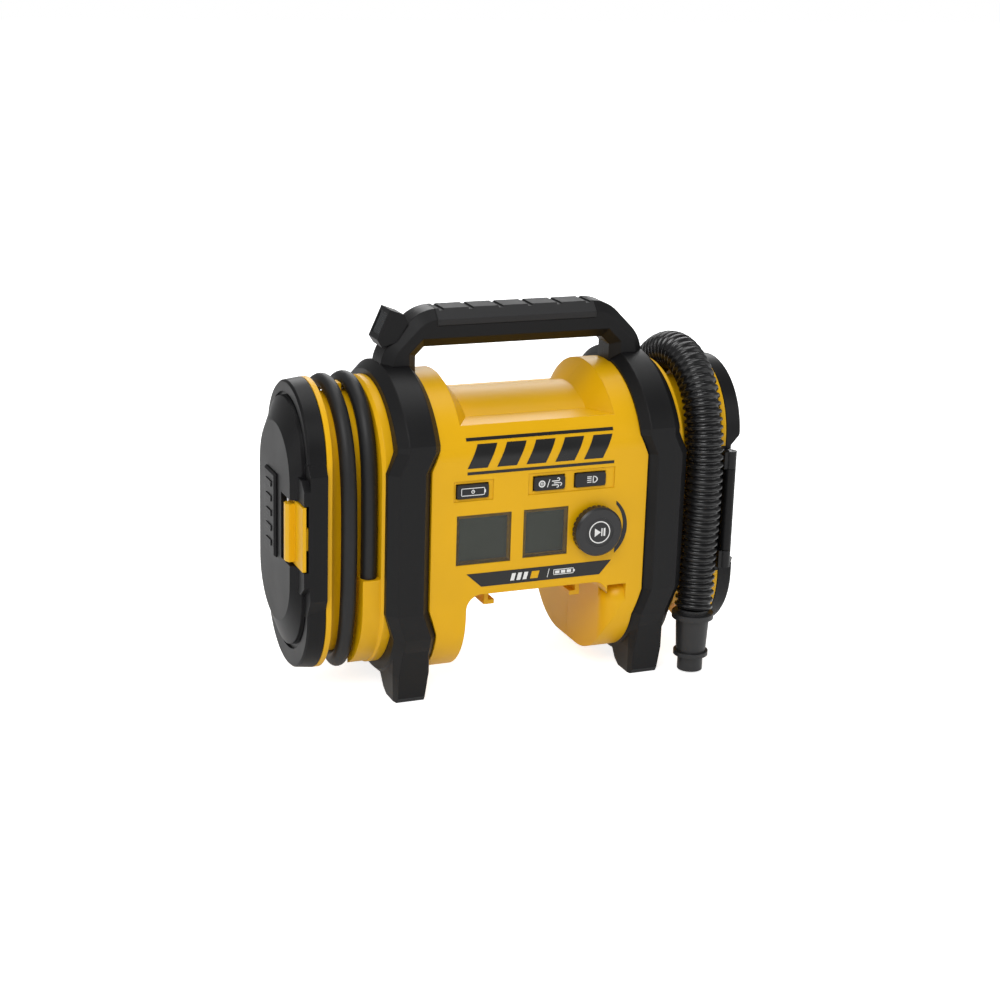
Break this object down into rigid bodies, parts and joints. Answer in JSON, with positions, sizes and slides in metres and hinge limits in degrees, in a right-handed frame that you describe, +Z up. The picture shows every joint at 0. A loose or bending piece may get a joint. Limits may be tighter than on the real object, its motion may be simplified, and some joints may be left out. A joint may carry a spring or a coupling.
{
  "type": "cordless air inflator",
  "caption": "Cordless air inflator with carry handle, roll-cage frames, wound high-pressure hose, corrugated high-volume hose, control panel and open battery bay.",
  "frame": {"origin": "middle of the object, on the plane the feet stand on", "axes": "+X to the right seen from the control panel, +Y to the rear, +Z up"},
  "size_m": [0.314, 0.1332, 0.243],
  "materials": {
    "yellow_plastic": "satin moulded",
    "black_plastic": "satin moulded",
    "soft_grip": "matt overmould",
    "button_rubber": "matt",
    "display_glass": "clear window",
    "display_panel": "liquid crystal cell",
    "print_black": "printed film",
    "knob_cap_plastic": "printed cap",
    "circuit_board": "glass epoxy",
    "lamp_lens": "frosted",
    "steel": "plain",
    "brass": "plain",
    "cast_metal": "die cast",
    "inner_plastic": "moulded",
    "hose_rubber": "matt",
    "hose_plastic": "moulded"
  },
  "bodies": {
    "housing": {"battery_rails": "yellow_plastic", "blower_motor": "steel", "blower_scroll": "inner_plastic", "button_switches": "steel", "chuck_body": "brass", "chuck_pin": "steel", "compressor_bracket": "cast_metal", "compressor_motor": "steel", "control_board": "circuit_board", "corrugated_hose": "hose_plastic", "crank_bearing": "steel", "cylinder_liner": "cast_metal", "encoder_base": "steel", "front_housing": "yellow_plastic", "handle_front": "black_plastic", "handle_grip": "soft_grip", "handle_rear": "black_plastic", "hose_nozzle": "hose_plastic", "housing_screws": "steel", "left_display": "display_panel", "left_display_window": "display_glass", "left_door_pin": "steel", "left_frame": "black_plastic", "left_outer_flange": "yellow_plastic", "left_spool": "yellow_plastic", "light_board": "circuit_board", "light_housing": "black_plastic", "light_lens": "lamp_lens", "panel_badge": "print_black", "panel_trims": "print_black", "pressure_hose": "hose_rubber", "rear_housing": "yellow_plastic", "right_display": "display_panel", "right_display_window": "display_glass", "right_door_pin": "steel", "right_frame": "black_plastic", "right_outer_flange": "yellow_plastic", "right_spool": "yellow_plastic", "terminal_blades": "brass", "terminal_block": "black_plastic"},
    "left_door": {"left_door": "black_plastic", "left_door_plate": "black_plastic", "left_latch_pin": "steel"},
    "right_door": {"right_door": "black_plastic", "right_door_plate": "black_plastic", "right_latch_pin": "steel"},
    "left_latch": {"left_latch": "yellow_plastic"},
    "right_latch": {"right_latch": "yellow_plastic"},
    "power_button": {"power_button": "button_rubber"},
    "mode_button": {"mode_button": "button_rubber"},
    "light_button": {"light_button": "button_rubber"},
    "knob_plunger": {"encoder_plunger": "steel"},
    "knob": {"selector_knob": "black_plastic", "knob_cap": "knob_cap_plastic", "encoder_shaft": "steel"},
    "crank": {"crank_gear": "steel"},
    "pinion": {"motor_pinion": "steel"},
    "piston": {"piston_rod": "cast_metal"},
    "impeller": {"blower_impeller": "inner_plastic"},
    "chuck_lever": {"chuck_lever": "hose_plastic"}
  },
  "joints": [
    {"name": "left_door_hinge", "type": "hinge", "parent": "housing", "child": "left_door", "pos_m": [-0.1375, 0.05, 0.1], "axis": [0, 0, 1], "range_deg": [-105, 0]},
    {"name": "right_door_hinge", "type": "hinge", "parent": "housing", "child": "right_door", "pos_m": [0.1375, -0.05, 0.1], "axis": [0, 0, 1], "range_deg": [-105, 0]},
    {"name": "left_latch_pivot", "type": "hinge", "parent": "left_door", "child": "left_latch", "pos_m": [-0.1525, -0.0235, 0.113], "axis": [0, 0, 1], "range_deg": [-30, 0]},
    {"name": "right_latch_pivot", "type": "hinge", "parent": "right_door", "child": "right_latch", "pos_m": [0.1525, 0.0235, 0.113], "axis": [0, 0, 1], "range_deg": [-30, 0]},
    {"name": "power_button_press", "type": "slide", "parent": "housing", "child": "power_button", "axis": [0, 1, 0], "range_m": [0, 0.0012], "stiffness_N_per_m": 400},
    {"name": "mode_button_press", "type": "slide", "parent": "housing", "child": "mode_button", "axis": [0, 1, 0], "range_m": [0, 0.0012], "stiffness_N_per_m": 400},
    {"name": "light_button_press", "type": "slide", "parent": "housing", "child": "light_button", "axis": [0, 1, 0], "range_m": [0, 0.0012], "stiffness_N_per_m": 400},
    {"name": "knob_press", "type": "slide", "parent": "housing", "child": "knob_plunger", "axis": [0, 1, 0], "range_m": [0, 0.0008], "stiffness_N_per_m": 600},
    {"name": "knob_turn", "type": "hinge", "parent": "knob_plunger", "child": "knob", "pos_m": [0.0375, -0.06, 0.106], "axis": [0, 1, 0], "continuous": true},
    {"name": "crank_spin", "type": "hinge", "parent": "housing", "child": "crank", "pos_m": [0, 0.015, 0.13], "axis": [1, 0, 0], "continuous": true},
    {"name": "pinion_spin", "type": "hinge", "parent": "housing", "child": "pinion", "pos_m": [0, 0.015, 0.16], "axis": [1, 0, 0], "continuous": true},
    {"name": "piston_stroke", "type": "slide", "parent": "housing", "child": "piston", "axis": [0, 0, 1], "range_m": [0, 0.01]},
    {"name": "impeller_spin", "type": "hinge", "parent": "housing", "child": "impeller", "pos_m": [0.04, 0, 0.128], "axis": [1, 0, 0], "continuous": true},
    {"name": "chuck_lever_pivot", "type": "hinge", "parent": "housing", "child": "chuck_lever", "pos_m": [-0.122, 0.054, 0.122], "axis": [1, 0, 0], "range_deg": [0, 60]}
  ],
  "couplings": [
    {"joint": "pinion_spin", "follows": "crank_spin", "ratio": -4}
  ]
}
